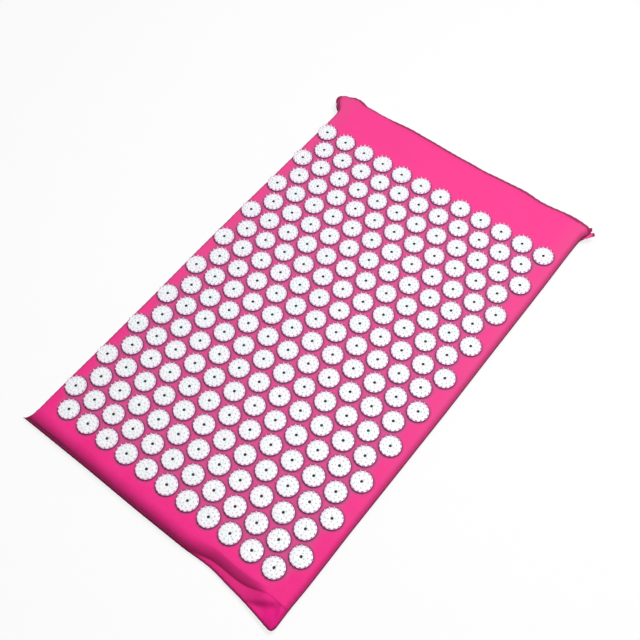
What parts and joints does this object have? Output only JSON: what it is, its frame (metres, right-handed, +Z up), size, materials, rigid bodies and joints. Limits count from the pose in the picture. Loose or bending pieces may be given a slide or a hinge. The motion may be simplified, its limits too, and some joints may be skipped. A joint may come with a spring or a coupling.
{
  "type": "acupressure mat",
  "caption": "Foam mat in a zipped cloth cover, its top set with closely packed plastic discs that carry rings of short spikes.",
  "frame": {"origin": "middle of the flat underside, at floor level", "axes": "+Y along the mat towards the end with the zip, +Z up through the spikes, +X to the right seen from the near end"},
  "size_m": [0.422, 0.6715, 0.0291],
  "materials": {
    "disc_plastic": "satin",
    "cotton": "matte",
    "foam": "matte",
    "zip_tape": "matte",
    "zip_teeth": "satin",
    "zip_metal": "satin"
  },
  "bodies": {
    "mat": {"spike_row_01": "disc_plastic", "spike_row_02": "disc_plastic", "spike_row_03": "disc_plastic", "spike_row_04": "disc_plastic", "spike_row_05": "disc_plastic", "spike_row_06": "disc_plastic", "spike_row_07": "disc_plastic", "spike_row_08": "disc_plastic", "spike_row_09": "disc_plastic", "spike_row_10": "disc_plastic", "spike_row_11": "disc_plastic", "spike_row_12": "disc_plastic", "spike_row_13": "disc_plastic", "spike_row_14": "disc_plastic", "spike_row_15": "disc_plastic", "spike_row_16": "disc_plastic", "spike_row_17": "disc_plastic", "spike_row_18": "disc_plastic", "spike_row_19": "disc_plastic", "spike_row_20": "disc_plastic", "cover_top_near": "cotton", "cover_top_far": "cotton", "cover_bottom": "cotton", "foam_core": "foam", "zip_tape_upper": "zip_tape", "zip_tape_lower": "zip_tape", "zip_teeth_upper": "zip_teeth", "zip_teeth_lower": "zip_teeth", "zip_top_stop_upper": "zip_metal", "zip_top_stop_lower": "zip_metal", "zip_bottom_stop": "zip_metal"},
    "slider": {"zip_slider": "zip_metal"},
    "pull": {"zip_pull": "zip_metal"}
  },
  "joints": [
    {"name": "zip_slide", "type": "slide", "parent": "mat", "child": "slider", "axis": [1, 0, 0], "range_m": [0, 0.3433]},
    {"name": "pull_hinge", "type": "hinge", "parent": "slider", "child": "pull", "pos_m": [-0.17165, 0.32804, 0.0113], "axis": [0, 0, 1], "range_deg": [0, 180]}
  ]
}
